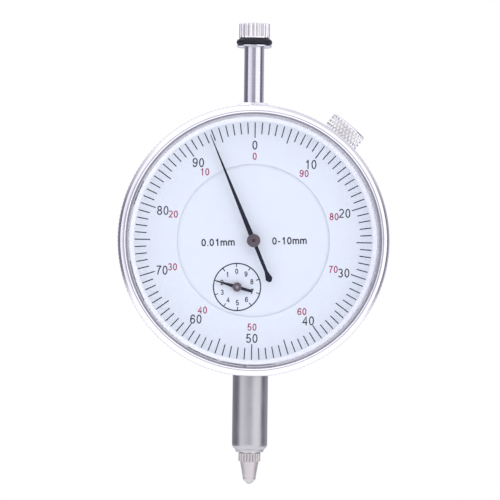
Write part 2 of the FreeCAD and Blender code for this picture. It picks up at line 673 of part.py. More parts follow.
def return_spring():
    """Extension spring, drawn out because the spindle is up: its coil and its two end hooks."""
    gap = 0.01
    pull = SPRING_HOOK_R - SPRING_WIRE_R - SPRING_SEAT_R - gap
    low, high = SPRING_POST_Z + pull, GUIDE_PIN_Z - pull
    end = SPRING_HOOK_R + 3 * SPRING_WIRE_R + 0.12
    coil_low, coil_high = low + end, high - end
    helix = Part.makeHelix((coil_high - coil_low) / SPRING_TURNS, coil_high - coil_low, SPRING_MEAN_R)
    section = Part.makeCircle(SPRING_WIRE_R, FreeCAD.Vector(SPRING_MEAN_R, 0, 0), FreeCAD.Vector(0, 1, 0))
    coil = Part.Wire(helix).makePipeShell([Part.Wire(section)], True, True)
    coil.translate(vec(SPRING_X, 0, coil_low))
    upper = Part.makeTorus(SPRING_HOOK_R, SPRING_WIRE_R, vec(SPRING_X, 0, high), FreeCAD.Vector(1, 0, 0))
    lower = Part.makeTorus(SPRING_HOOK_R, SPRING_WIRE_R, vec(SPRING_X, 0, low), FreeCAD.Vector(0, 1, 0))
    return Part.makeCompound([coil, upper, lower])


# ---------------------------------------------------------------- dial and pointers
def dial_centre():
    """Fixed inner disc of the dial, on three feet that sit in the front plate."""
    behind = CENTRE_DISC[0] + 0.1
    feet = [along_depth(0.6, (FRONT_PLATE[0], behind), at) for at in dial_feet()]
    shoulders = [along_depth(BUSH_R, (FRONT_PLATE[1], behind), at) for at in dial_feet()]
    holes = [along_depth(1.0, longer(CENTRE_DISC), CENTRE_ARBOR),
             along_depth(0.8, longer(CENTRE_DISC), COUNTER_ARBOR)]
    return fused([along_depth(CENTRE_DISC_R, CENTRE_DISC)] + feet + shoulders).cut(holes)


def flat_ring(inner_r, outer_r, fronts):
    rear, front = fronts
    return turned_about_depth([(inner_r, rear), (outer_r, rear), (outer_r, front), (inner_r, front)])


def dial_ring():
    """Graduated ring that turns with the bezel, just in front of the fixed disc."""
    return flat_ring(DIAL_RING_INNER_R, DIAL_RING_OUTER_R, DIAL_RING)


def dial_spacer_ring():
    """Bright ring between the dial ring and the crystal."""
    return flat_ring(SPACER_INNER_R, DIAL_RING_OUTER_R, (DIAL_RING[1], CRYSTAL[0]))


def hand(stations, degrees, centre, front, bore_r):
    """A pointer from (distance, half width) stations along it, turned to its reading, with its bore."""
    turn = math.radians(degrees)
    along, across = (-math.sin(turn), math.cos(turn)), (math.cos(turn), math.sin(turn))

    def place(distance, side):
        return tuple(centre[i] + distance * along[i] + side * across[i] for i in range(2))

    outline = [place(distance, -half) for distance, half in stations]
    outline += [place(distance, half) for distance, half in reversed(stations)]
    sheet = (front, front + POINTER_SHEET)
    boss = along_depth(bore_r + 0.35, sheet, centre)
    return fused([plate(outline, sheet), boss]).cut(along_depth(bore_r, longer(sheet), centre))


def main_pointer():
    return hand(MAIN_POINTER_STATIONS, MAIN_POINTER_ANGLE, CENTRE_ARBOR, MAIN_POINTER_FRONT, 0.9)


def counter_pointer():
    return hand(COUNTER_POINTER_STATIONS, COUNTER_POINTER_ANGLE, COUNTER_ARBOR, COUNTER_POINTER_FRONT, 0.6)


def pointer_hub(at, bore_r, tube_r, flange_r, rear, seat, flange):
    """A stepped bush riveted through a pointer; its flange has a small chamfer."""
    top, edge = seat + flange, 0.14
    return turned_about_depth([(bore_r, rear), (tube_r, rear), (tube_r, seat), (flange_r, seat),
                               (flange_r, top - edge), (flange_r - edge, top), (bore_r, top)], at)


def main_pointer_hub():
    seat = MAIN_POINTER_FRONT + POINTER_SHEET
    return pointer_hub(CENTRE_ARBOR, FINE_PIVOT_R, 0.9, 1.5, seat - 0.86, seat, 0.4)


def counter_pointer_hub():
    seat = COUNTER_POINTER_FRONT + POINTER_SHEET
    return pointer_hub(COUNTER_ARBOR, 0.32, 0.6, 1.03, seat - 0.21, seat, 0.32)


# ---------------------------------------------------------------- bezel group
def bezel():
    """Rim, rounded face, seats for the crystal and its ring, and the skirt that runs in the case."""
    rear, front = BEZEL_FRONTS
    rear_edge, lip_front = 0.4, SNAP_RING[1] + 0.02
    outward = [(BEZEL_CREST_R + (BEZEL_R - BEZEL_CREST_R) * across, front - BEZEL_ROUNDING * (1 - up))
               for across, up in arc_points((0, 0), 1, 0, 90, 8)]
    inward = [(BEZEL_CREST_R + (BEZEL_CREST_R - BEZEL_LIP_R) * across, front - BEZEL_INNER_DROP * (1 - up))
              for across, up in arc_points((0, 0), 1, 90, 180, 4)[1:]]
    skirt_inner, skirt_outer = SKIRT_R
    seat_r = DIAL_RING_OUTER_R + 0.05
    return turned_about_depth(
        [(skirt_inner, SKIRT_REAR), (skirt_outer, SKIRT_REAR), (skirt_outer, RETAINING_GROOVE[0] - 0.05),
         (SKIRT_GROOVE_R, RETAINING_GROOVE[0] - 0.05), (SKIRT_GROOVE_R, RETAINING_GROOVE[1] + 0.05),
         (skirt_outer, RETAINING_GROOVE[1] + 0.05), (skirt_outer, rear), (BEZEL_R - rear_edge, rear),
         (BEZEL_R, rear + rear_edge)]
        + outward + inward
        + [(BEZEL_LIP_R, lip_front), (SNAP_GROOVE_R, lip_front),
           (SNAP_GROOVE_R, CRYSTAL[1]), (BEZEL_LIP_R, CRYSTAL[1]), (BEZEL_LIP_R, CRYSTAL[0]),
           (seat_r, CRYSTAL[0]), (seat_r, DIAL_RING[0]), (skirt_inner, DIAL_RING[0])])


def crystal():
    return along_depth(BEZEL_LIP_R - 0.02, CRYSTAL)


def crystal_snap_ring():
    """Split ring sprung into the bezel's groove in front of the crystal."""
    ring = flat_ring(SNAP_RING_INNER_R, SNAP_GROOVE_R - 0.05, SNAP_RING)
    gap = block((-SNAP_RING_GAP / 2, SNAP_RING_GAP / 2), longer(SNAP_RING), longer((-SNAP_GROOVE_R, -26.0)))
    gap.rotate(vec(0, 0, 0), FreeCAD.Vector(0, 1, 0), 270 - SNAP_RING_GAP_ANGLE)
    return ring.cut(gap)


# ---------------------------------------------------------------- bezel lock
def lock_knob():
    """Gripping head and threaded stud in one piece; the thread is its outer cylinder."""
    inner, outer = LOCK_KNOB
    socket_r, socket_end = 0.7, LOCK_STUD_END + 0.85
    body = fused([along_lock(LOCK_KNOB_R - LOCK_KNOB_EDGE, inner, outer),
                  along_lock(LOCK_KNOB_R, inner + 0.1, outer - LOCK_KNOB_EDGE),
                  along_lock(LOCK_STUD_R, LOCK_STUD_END, inner + BEYOND)])
    return body.cut(along_lock(socket_r, LOCK_STUD_END - BEYOND, socket_end))


def lock_shoe():
    """Brass pad under the stud's end; its face is curved like the skirt that it presses."""
    pad = along_lock(LOCK_STUD_R, SHOE_REST_R - 0.2, LOCK_STUD_END - 0.05)
    tail = along_lock(0.65, LOCK_STUD_END - 0.15, LOCK_STUD_END + 0.75)
    return fused([pad, tail]).cut(along_depth(SHOE_REST_R, (0, 12)))


# ---------------------------------------------------------------- build
SUB_PARTS = (
    case_body, stem, lower_bushing, upper_bushing, back_cover, mounting_lug, back_cover_screws,
    bezel_retaining_ring, front_plate, rear_plate, movement_pillars, pillar_screws, plate_screws,
    pinion_cock, cock_screw, arbor_bushings, rack_pinion, first_wheel, centre_pinion,
    counter_arbor, counter_wheel, hairspring_collet, hairspring, hairspring_stud, spindle,
    contact_point, contact_ball, spindle_cap, cap_o_ring, cap_washer, guide_pin, guide_block,
    guide_block_screws, spring_post, return_spring, dial_centre, dial_ring, dial_spacer_ring,
    main_pointer, main_pointer_hub, counter_pointer, counter_pointer_hub, bezel, crystal,
    crystal_snap_ring, lock_knob, lock_shoe)


def main():
    os.makedirs(OUT, exist_ok=True)
    for make in SUB_PARTS:
        shape = make()
        sound = bool(shape.Solids) and all(s.isValid() and s.Volume > 0 for s in shape.Solids)
        shape.exportStep(f"{OUT}/{make.__name__}.step")
        print(f"{make.__name__}: {len(shape.Solids)} solids, {shape.Volume:.2f} mm3, sound {sound}")


main()
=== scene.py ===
"""Looks of the dial indicator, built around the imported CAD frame.

Metres, in the frame's own axes: +Z up along the spindle, the dial faces -Y. Small sizes are written in
millimetres and multiplied by MM. "Front" is a distance towards -Y, and a height is measured from the
dial's centre. Angles on the dial are anticlockwise from three o'clock, seen from the front.
"""
import bmesh
import bpy
import json
import math
from mathutils import Matrix, Vector


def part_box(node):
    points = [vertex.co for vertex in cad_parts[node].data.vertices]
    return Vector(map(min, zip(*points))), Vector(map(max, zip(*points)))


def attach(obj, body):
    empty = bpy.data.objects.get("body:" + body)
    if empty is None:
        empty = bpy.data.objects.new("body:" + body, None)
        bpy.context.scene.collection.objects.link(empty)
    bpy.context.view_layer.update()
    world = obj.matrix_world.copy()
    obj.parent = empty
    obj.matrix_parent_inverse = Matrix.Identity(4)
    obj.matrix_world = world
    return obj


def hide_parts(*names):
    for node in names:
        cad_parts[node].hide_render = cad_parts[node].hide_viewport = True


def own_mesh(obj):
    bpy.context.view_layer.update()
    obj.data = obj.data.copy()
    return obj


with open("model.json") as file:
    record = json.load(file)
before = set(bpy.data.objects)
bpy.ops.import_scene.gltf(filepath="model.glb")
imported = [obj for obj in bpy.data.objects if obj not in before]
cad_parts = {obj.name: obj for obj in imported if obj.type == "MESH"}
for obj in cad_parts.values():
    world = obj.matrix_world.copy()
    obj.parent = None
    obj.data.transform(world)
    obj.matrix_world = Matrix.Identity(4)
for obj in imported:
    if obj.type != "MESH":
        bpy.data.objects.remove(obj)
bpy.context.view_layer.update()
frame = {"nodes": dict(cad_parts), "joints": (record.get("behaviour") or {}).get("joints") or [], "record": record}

MM = 0.001

# ---------------------------------------------------------------- places, from the frame
DEPTH = Vector((0, -1, 0))
UP = Vector((0, 0, 1))


def middle(node):
    low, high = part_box(node)
    return (low + high) / 2


def front_of(node):
    """How far a node's foremost face lies in front of the spindle's axis, in millimetres."""
    return -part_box(node)[0].y / MM


def joint(name):
    return next(j for j in frame["joints"] if j["name"] == name)


CENTRE = Vector((middle("bezel").x, 0, middle("bezel").z))
COUNTER_CENTRE = middle("counter_pointer_hub")
BEZEL_R = (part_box("bezel")[1].x - CENTRE.x) / MM
BEZEL_FRONT = front_of("bezel")
RING_FRONT = front_of("dial_ring")
DISC_FRONT = front_of("dial_centre")
LOCK_AXIS = Vector(joint("lock_turn")["axis"]).normalized()
LOCK_ORIGIN = Vector((CENTRE.x, middle("lock_knob").y, CENTRE.z))
LOCK_SIDE = LOCK_AXIS.cross(DEPTH)


# ---------------------------------------------------------------- mesh helpers
KNURL_REACH = 0.8       # how far below a turned part's largest radius a knurl still cuts, in millimetres


def about_depth(radius, angle, front):
    """A point from millimetres about the dial's axis."""
    across = Vector((math.cos(angle), 0, math.sin(angle)))
    return CENTRE + (across * radius + DEPTH * front) * MM


def about_spindle(radius, angle, height):
    """A point from millimetres about the spindle's axis."""
    across = Vector((math.cos(angle), math.sin(angle), 0))
    return CENTRE + (across * radius + UP * height) * MM


def about_lock(radius, angle, distance):
    """A point from millimetres about the lock's screw, along it from the dial's axis."""
    across = DEPTH * math.cos(angle) + LOCK_SIDE * math.sin(angle)
    return LOCK_ORIGIN + (across * radius + LOCK_AXIS * distance) * MM


def arc(centre, radius, start, end, steps):
    """Points of a turned profile's arc, with its angles in degrees."""
    turns = [math.radians(start + (end - start) * i / steps) for i in range(steps + 1)]
    return [(centre[0] + radius * math.cos(t), centre[1] + radius * math.sin(t)) for t in turns]


def spaced(start, end, steps):
    """Points along a straight stretch of a profile, without its first."""
    return [(start[0] + (end[0] - start[0]) * i / steps, start[1] + (end[1] - start[1]) * i / steps)
            for i in range(1, steps + 1)]


def add_piece(name, mesh, body, replaced=()):
    piece = bpy.data.objects.new(name, mesh)
    bpy.context.scene.collection.objects.link(piece)
    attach(piece, body)
    if replaced:
        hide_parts(*replaced)
    return piece


def mesh_from(name, builder, sharp=30):
    """A mesh from a bmesh, smooth but for edges sharper than an angle in degrees."""
    bmesh.ops.recalc_face_normals(builder, faces=builder.faces)
    mesh = bpy.data.meshes.new(name)
    builder.to_mesh(mesh)
    builder.free()
    mesh.shade_smooth()
    mesh.set_sharp_from_angle(angle=math.radians(sharp))
    return mesh


def lathe(name, profile, place, segments, relief=None, sharp=30):
    """Turns a closed (radius, along) profile; relief(angle, along) lowers its outermost surface."""
    outer = max(radius for radius, _ in profile)
    builder = bmesh.new()
    rings = []
    for radius, along in profile:
        if radius == 0:
            rings.append([builder.verts.new(place(0, 0, along))] * segments)
            continue
        ring = []
        for step in range(segments):
            angle = 2 * math.pi * step / segments
            lowered = relief(angle, along) if relief and radius > outer - KNURL_REACH else 0
            ring.append(builder.verts.new(place(radius - lowered, angle, along)))
        rings.append(ring)
    for low, high in zip(rings, rings[1:] + rings[:1]):
        for step in range(segments):
            after = (step + 1) % segments
            corners = list(dict.fromkeys((low[step], low[after], high[after], high[step])))
            if len(corners) > 2:
                builder.faces.new(corners)
    return mesh_from(name, builder, sharp)


def fade(value, low, high, width):
    """1 between low and high, easing to 0 over a width inside each end."""
    t = max(0.0, min(1.0, (value - low) / width, (high - value) / width))
    return t * t * (3 - 2 * t)


def straight_knurl(count, depth, low, high, runout, fullness=0.7):
    """Grooves along a turned part's axis; a lower fullness leaves wider, flatter ribs."""
    def relief(angle, along):
        wave = 0.5 - 0.5 * math.cos(count * angle)
        return depth * (1 - wave ** fullness) * fade(along, low, high, runout)
    return relief


def diamond_knurl(count, lead, depth, low, high, runout):
    """Two families of helical grooves that leave diamonds standing."""
    def relief(angle, along):
        twist = 2 * math.pi * along / lead
        waves = [abs(math.sin(count * (angle + side * twist) / 2)) for side in (1, -1)]
        return depth * (1 - min(waves) ** 0.6) * fade(along, low, high, runout)
    return relief


# ---------------------------------------------------------------- printing
PRINT_TALL = 0.02
PRINT_SUNK = 0.01


def prism(builder, outline, front):
    """Adds a thin raised print with an outline of (x, height) points."""
    back, face = [[builder.verts.new(CENTRE + Vector((x, -f, z)) * MM) for x, z in outline]
                  for f in (front - PRINT_SUNK, front + PRINT_TALL)]
    builder.faces.new(back)
    builder.faces.new(face)
    for i in range(len(outline)):
        after = (i + 1) % len(outline)
        builder.faces.new((back[i], back[after], face[after], face[i]))


def polar(radius, degrees, centre=(0, 0)):
    angle = math.radians(degrees)
    return (centre[0] + radius * math.cos(angle), centre[1] + radius * math.sin(angle))


def tick(builder, centre, degrees, inner, outer, width, front):
    """Adds a radial mark."""
    half = math.radians(degrees + 90)
    side = (math.cos(half) * width / 2, math.sin(half) * width / 2)
    ends = [polar(radius, degrees, centre) for radius in (inner, outer)]
    outline = [(x + sign * side[0], z + sign * side[1])
               for (x, z), sign in ((ends[0], -1), (ends[1], -1), (ends[1], 1), (ends[0], 1))]
    prism(builder, outline, front)


def circle_line(builder, centre, radius, width, front, segments=96):
    """Adds a thin raised ring."""
    for step in range(segments):
        span = [360 * (step + i) / segments for i in (0, 1)]
        outline = [polar(radius - width / 2, span[0], centre), polar(radius + width / 2, span[0], centre),
                   polar(radius + width / 2, span[1], centre), polar(radius - width / 2, span[1], centre)]
        prism(builder, outline, front)


def bow(x, y, across, tall, start, end):
    """Points on an ellipse, with its angles in degrees."""
    steps = max(4, round(abs(end - start) / 18))
    turns = [math.radians(start + (end - start) * i / steps) for i in range(steps + 1)]
    return [(x + across * math.cos(t), y + tall * math.sin(t)) for t in turns]


def turned_over(paths, width):
    return [[(width - x, 1 - y) for x, y in path] for path in paths]


SIX = [bow(0.31, 0.315, 0.235, 0.25, 180, 540), [*bow(0.335, 0.49, 0.26, 0.445, 32, 180), (0.075, 0.315)]]
# plain upright characters as the middle lines of their strokes: how wide each is, and its strokes,
# both in parts of a figure's height
CHARACTERS = {
    "0": (0.62, [bow(0.31, 0.5, 0.235, 0.435, 90, 450)]),
    "1": (0.62, [[(0.14, 0.72), (0.28, 0.80), (0.37, 0.935)], [(0.37, 1.0), (0.37, 0.0)]]),
    "2": (0.62, [[*bow(0.305, 0.685, 0.23, 0.25, 165, -32), (0.07, 0.07), (0.57, 0.07)]]),
    "3": (0.62, [bow(0.29, 0.715, 0.205, 0.22, 160, -90), bow(0.3, 0.28, 0.235, 0.215, 90, -160)]),
    "4": (0.62, [[(0.44, 0.0), (0.44, 0.93), (0.05, 0.3), (0.6, 0.3)]]),
    "5": (0.62, [[(0.53, 0.93), (0.16, 0.93), (0.1, 0.5), *bow(0.3, 0.32, 0.24, 0.255, 130, -155)]]),
    "6": (0.62, SIX),
    "7": (0.62, [[(0.05, 0.93), (0.56, 0.93), (0.37, 0.6), (0.26, 0.3), (0.22, 0.0)]]),
    "8": (0.62, [bow(0.31, 0.725, 0.195, 0.21, 270, 630), bow(0.31, 0.285, 0.24, 0.225, 90, 450)]),
    "9": (0.62, turned_over(SIX, 0.62)),
    "m": (0.9, [[(0.07, 0.0), (0.07, 0.72)], [*bow(0.26, 0.48, 0.19, 0.18, 180, 0), (0.45, 0.0)],
                [*bow(0.64, 0.48, 0.19, 0.18, 180, 0), (0.83, 0.0)]]),
    "-": (0.38, [[(0.04, 0.39), (0.34, 0.39)]]),
    ".": (0.2, [[(0.1, 0.0), (0.1, 0.13)]]),
}
LETTER_GAP = 0.15


def ribbon(builder, path, width, front):
    """Adds a thin raised line along a path, with mitred corners."""
    points = [Vector(point) for point in path]
    closed = (points[0] - points[-1]).length < 0.001
    runs = [(b - a).normalized() for a, b in zip(points, points[1:])]
    before = [runs[-1] if closed else runs[0]] + runs
    after = runs + [runs[0] if closed else runs[-1]]
    edges = []
    for point, entering, leaving in zip(points, before, after):
        along = (entering + leaving).normalized()
        reach = width / 2 / max(0.5, along.dot(leaving))
        across = Vector((-along.y, along.x)) * reach
        edges.append((point + across, point - across))
    for (left, right), (next_left, next_right) in zip(edges, edges[1:]):
        prism(builder, [left, right, next_right, next_left], front)


def label(builder, text, centre, height, stretch, stroke, front, turn=0.0):
    """Adds upright lettering centred on a point; height and stroke are in millimetres."""
    widths = [CHARACTERS[character][0] for character in text]
    total = sum(widths) + LETTER_GAP * (len(text) - 1)
    start = -total / 2
    for character, wide in zip(text, widths):
        for path in CHARACTERS[character][1]:
            placed = []
            for x, y in path:
                x, y = (start + x) * height * stretch, (y - 0.5) * height
                placed.append((centre[0] + x * math.cos(turn) - y * math.sin(turn),
                               centre[1] + x * math.sin(turn) + y * math.cos(turn)))
            ribbon(builder, placed, stroke, front)
        start += wide + LETTER_GAP


# ---------------------------------------------------------------- materials
class Finish:
    """A material under construction, with its Principled shader's sockets set from keywords."""

    def __init__(self, name, sockets):
        self.material = bpy.data.materials.new(name)
        self.material.use_nodes = True
        self.nodes = self.material.node_tree.nodes
        self.links = self.material.node_tree.links
        self.shader = self.nodes["Principled BSDF"]
        for socket, value in sockets.items():
            self.feed(self.shader.inputs[socket], value)

    def feed(self, socket, value):
        """Sets an input from a value or from another node's output."""
        if isinstance(value, bpy.types.NodeSocket):
            self.links.new(value, socket)
        else:
            socket.default_value = value

    def add(self, kind, inputs, output=0, **settings):
        """Adds a node and returns one of its outputs."""
        node = self.nodes.new(kind)
        for setting, value in settings.items():
            setattr(node, setting, value)
        for socket, value in inputs.items():
            self.feed(node.inputs[socket], value)
        return node.outputs[output]

    def maths(self, operation, *values):
        return self.add("ShaderNodeMath", dict(enumerate(values)), operation=operation)

    def noise(self, size, detail=2.0, stretch=(1, 1, 1)):
        """Soft variation with features of about a size in millimetres."""
        place = self.add("ShaderNodeTexCoord", {}, "Object")
        place = self.add("ShaderNodeMapping", {"Vector": place, "Scale": stretch})
        return self.add("ShaderNodeTexNoise", {"Vector": place, "Scale": 1 / (size * MM), "Detail": detail})

    def turned(self, axis, centre, pitch):
        """Irregular rings about an axis, which follow the tool over a turned part's faces and sides."""
        place = self.add("ShaderNodeTexCoord", {}, "Object")
        place = self.add("ShaderNodeVectorMath", {0: place, 1: centre}, operation="SUBTRACT")
        along = self.add("ShaderNodeVectorMath", {0: place, 1: axis}, "Value", operation="DOT_PRODUCT")
        crossed = self.add("ShaderNodeVectorMath", {0: place, 1: axis}, operation="CROSS_PRODUCT")
        radius = self.add("ShaderNodeVectorMath", {0: crossed}, "Value", operation="LENGTH")
        path = self.maths("DIVIDE", self.maths("ADD", along, radius), pitch * MM)
        return self.add("ShaderNodeTexNoise", {"W": path, "Scale": 1.0, "Detail": 1.0}, noise_dimensions="1D")

    def ranged(self, value, low, high):
        """A value from 0 to 1 spread over another range."""
        return self.add("ShaderNodeMapRange", {"Value": value, "From Min": 0.25, "From Max": 0.75,
                                               "To Min": low, "To Max": high})

    def tint(self, value, dark, light):
        """A colour between two, by a value."""
        blend = self.add("ShaderNodeValToRGB", {"Fac": value})
        ramp = blend.node.color_ramp
        ramp.elements[0].position, ramp.elements[1].position = 0.3, 0.7
        ramp.elements[0].color, ramp.elements[1].color = (*dark, 1), (*light, 1)
        return blend

    def bump(self, height, depth, onto=None):
        """A normal raised by up to a depth in millimetres, over another normal if one is given."""
        inputs = {"Height": height, "Distance": depth * MM, "Strength": 1.0}
        if onto:
            inputs["Normal"] = onto
        return self.add("ShaderNodeBump", inputs)

    def set(self, socket, value):
        self.feed(self.shader.inputs[socket], value)


def shades(colour, spread):
    """A darker and a lighter neighbour of a colour."""
    return [tuple(min(1.0, channel * (1 + sign * spread)) for channel in colour) for sign in (-1, 1)]


def metal(name, colour, roughness, axis, centre, ring_pitch=0.16, ring_depth=0.0002, grain=None):
    """Turned or ground metal: rings from the tool, a handled surface, and a fine grain where it has one."""
    finish = Finish(name, {"Metallic": 1.0})
    rings = finish.turned(axis, centre, ring_pitch)
    handled = finish.noise(4.0, 3.0)
    finish.set("Base Color", finish.tint(finish.maths("MULTIPLY_ADD", rings, 0.5,
                                                      finish.maths("MULTIPLY", handled, 0.5)),
                                         *shades(colour, 0.05)))
    finish.set("Roughness", finish.ranged(handled, roughness * 0.85, roughness * 1.2))
    normal = finish.bump(rings, ring_depth)
    if grain:
        normal = finish.bump(finish.noise(grain[0], 2.0), grain[1], normal)
    finish.set("Normal", normal)
    return finish.material


def satin_metal(name, colour, roughness, grain_size, grain_depth):
    """Blasted and plated metal, with a fine even grain."""
    finish = Finish(name, {"Metallic": 1.0})
    grain = finish.noise(grain_size, 3.0)
    cloud = finish.noise(7.0, 3.0)
    finish.set("Base Color", finish.tint(cloud, *shades(colour, 0.04)))
    finish.set("Roughness", finish.ranged(grain, roughness * 0.9, roughness * 1.15))
    finish.set("Normal", finish.bump(grain, grain_depth))
    return finish.material


def rubber(name):
    finish = Finish(name, {"Specular IOR Level": 0.3})
    cloud = finish.noise(0.9, 4.0)
    finish.set("Base Color", finish.tint(cloud, (0.005, 0.005, 0.011), (0.011, 0.011, 0.02)))
    finish.set("Roughness", finish.ranged(cloud, 0.4, 0.55))
    finish.set("Normal", finish.bump(finish.noise(0.25, 2.0), 0.006))
    return finish.material


def enamel(name, colour, spread, roughness, specular=0.3):
    """Flat paint or ink, a little uneven in its coverage."""
    finish = Finish(name, {"Specular IOR Level": specular})
    cloud = finish.noise(3.0, 3.0)
    finish.set("Base Color", finish.tint(cloud, *shades(colour, spread)))
    finish.set("Roughness", finish.ranged(cloud, roughness * 0.9, roughness * 1.1))
    finish.set("Normal", finish.bump(finish.noise(0.12, 2.0), 0.0006))
    return finish.material


def dial_enamel(name, field, margin, margin_r):
    """Matt print ground: a pale field, and a whiter margin outside a radius in millimetres."""
    finish = Finish(name, {"Specular IOR Level": 0.2})
    place = finish.add("ShaderNodeTexCoord", {}, "Object")
    place = finish.add("ShaderNodeVectorMath", {0: place, 1: CENTRE}, operation="SUBTRACT")
    place = finish.add("ShaderNodeVectorMath", {0: place, 1: (1, 0, 1)}, operation="MULTIPLY")
    radius = finish.add("ShaderNodeVectorMath", {0: place}, "Value", operation="LENGTH")
    cloud = finish.noise(3.0, 3.0)
    outside = finish.add("ShaderNodeMapRange", {"Value": radius, "From Min": (margin_r - 0.15) * MM,
                                                "From Max": (margin_r + 0.15) * MM})
    colour = finish.add("ShaderNodeMixRGB", {0: outside, 1: finish.tint(cloud, *shades(field, 0.006)),
                                             2: (*margin, 1)})
    finish.set("Base Color", colour)
    finish.set("Roughness", finish.ranged(cloud, 0.45, 0.55))
    finish.set("Normal", finish.bump(finish.noise(0.12, 2.0), 0.0006))
    return finish.material


def crystal_finish(name):
    """Clear pane: it lets light through and mirrors more of it at a slant."""
    finish = Finish(name, {})
    haze = finish.ranged(finish.noise(5.0, 3.0), 0.004, 0.012)
    clear = finish.add("ShaderNodeBsdfTransparent", {"Color": (0.985, 0.99, 1.0, 1)})
    gloss = finish.add("ShaderNodeBsdfGlossy", {"Color": (1, 1, 1, 1), "Roughness": haze})
    slant = finish.add("ShaderNodeFresnel", {"IOR": 1.45})
    entering = finish.maths("SUBTRACT", 1.0, finish.add("ShaderNodeNewGeometry", {}, "Backfacing"))
    mirrored = finish.maths("MULTIPLY", slant, entering)
    pane = finish.add("ShaderNodeMixShader", {0: mirrored, 1: clear, 2: gloss})
    output = finish.nodes["Material Output"]
    finish.links.new(pane, output.inputs["Surface"])
    finish.nodes.remove(finish.shader)
    return finish.material


SPINDLE_AXIS = (UP, CENTRE)
DIAL_AXIS = (DEPTH, CENTRE)

FINISHES = {
    "case_metal": satin_metal("satin_chrome_case", (0.62, 0.63, 0.65), 0.34, 0.22, 0.004),
    "cover_metal": satin_metal("satin_cover", (0.56, 0.57, 0.59), 0.38, 0.3, 0.006),
    "stem_steel": metal("ground_stem", (0.45, 0.445, 0.445), 0.34, *SPINDLE_AXIS, 0.22, 0.0004),
    "spindle_steel": metal("polished_spindle", (0.64, 0.64, 0.65), 0.14, *SPINDLE_AXIS, 0.3, 0.00025),
    "knurled_steel": metal("knurled_steel", (0.58, 0.565, 0.56), 0.36, *SPINDLE_AXIS, 0.2, 0.0004),
    "washer_steel": metal("turned_washer", (0.70, 0.70, 0.71), 0.2, *SPINDLE_AXIS),
    "ball_steel": metal("polished_ball", (0.46, 0.45, 0.45), 0.26, *SPINDLE_AXIS),
    "black_rubber": rubber("black_rubber"),
    "bezel_chrome": metal("bezel_chrome", (0.76, 0.76, 0.77), 0.19, *DIAL_AXIS, 0.35, 0.0004),
    "ring_steel": metal("bright_spring_ring", (0.45, 0.455, 0.47), 0.22, *DIAL_AXIS),
    "clear_crystal": crystal_finish("clear_crystal"),
    "dial_white": dial_enamel("dial_enamel", (0.715, 0.757, 0.775), (0.92, 0.925, 0.93), 26.65),
    "pointer_black": enamel("pointer_blueblack", (0.008, 0.009, 0.02), 0.25, 0.42, 0.1),
    "hub_metal": metal("dark_nickel_hub", (0.165, 0.135, 0.14), 0.3, *DIAL_AXIS, 0.3, 0.0004),
    "plate_brass": metal("rolled_brass", (0.74, 0.56, 0.27), 0.28, *DIAL_AXIS, 0.5, 0.0004, (0.4, 0.002)),
    "wheel_brass": metal("turned_brass", (0.80, 0.60, 0.28), 0.2, *DIAL_AXIS),
    "arbor_steel": metal("turned_arbor_steel", (0.55, 0.55, 0.57), 0.2, *DIAL_AXIS),
    "screw_steel": metal("screw_steel", (0.47, 0.48, 0.50), 0.25, *DIAL_AXIS),
    "spring_steel": metal("drawn_spring_wire", (0.46, 0.47, 0.49), 0.24, *SPINDLE_AXIS),
    "hairspring_bronze": metal("hairspring_bronze", (0.66, 0.44, 0.2), 0.2, *DIAL_AXIS),
}
RED_INK = enamel("red_ink", (0.33, 0.02, 0.085), 0.08, 0.5, 0.2)
BLACK_INK = enamel("black_ink", (0.02, 0.02, 0.03), 0.2, 0.5, 0.2)
SPACER_METAL = satin_metal("satin_spacer", (0.86, 0.86, 0.87), 0.6, 0.3, 0.003)
DARK_ARBOR = metal("blued_arbor", (0.07, 0.05, 0.05), 0.3, *DIAL_AXIS, 0.2, 0.0004)
LOCK_METAL = metal("lock_knob_steel", (0.74, 0.73, 0.72), 0.2, LOCK_AXIS, LOCK_ORIGIN, 0.3, 0.0004)
# The upper bushing is the stem's steel made far lighter here. This is a painted highlight: its colour stands in
# for the bright rounding that light gives the collar.
COLLAR_PAINTED_HIGHLIGHT_METAL = metal("collar_steel_painted_highlight", (0.93, 0.92, 0.92), 0.3, *SPINDLE_AXIS, 0.2, 0.0004)
CAP_METAL = metal("bright_cap_steel", (0.80, 0.785, 0.77), 0.2, *SPINDLE_AXIS, 0.2, 0.0004)
POINT_METAL = metal("dull_point_steel", (0.56, 0.53, 0.515), 0.52, *SPINDLE_AXIS, 0.2, 0.0004)


def coat(piece, material):
    """Gives a piece one material, in place of whatever it had."""
    piece.data.materials.clear()
    piece.data.materials.append(material)


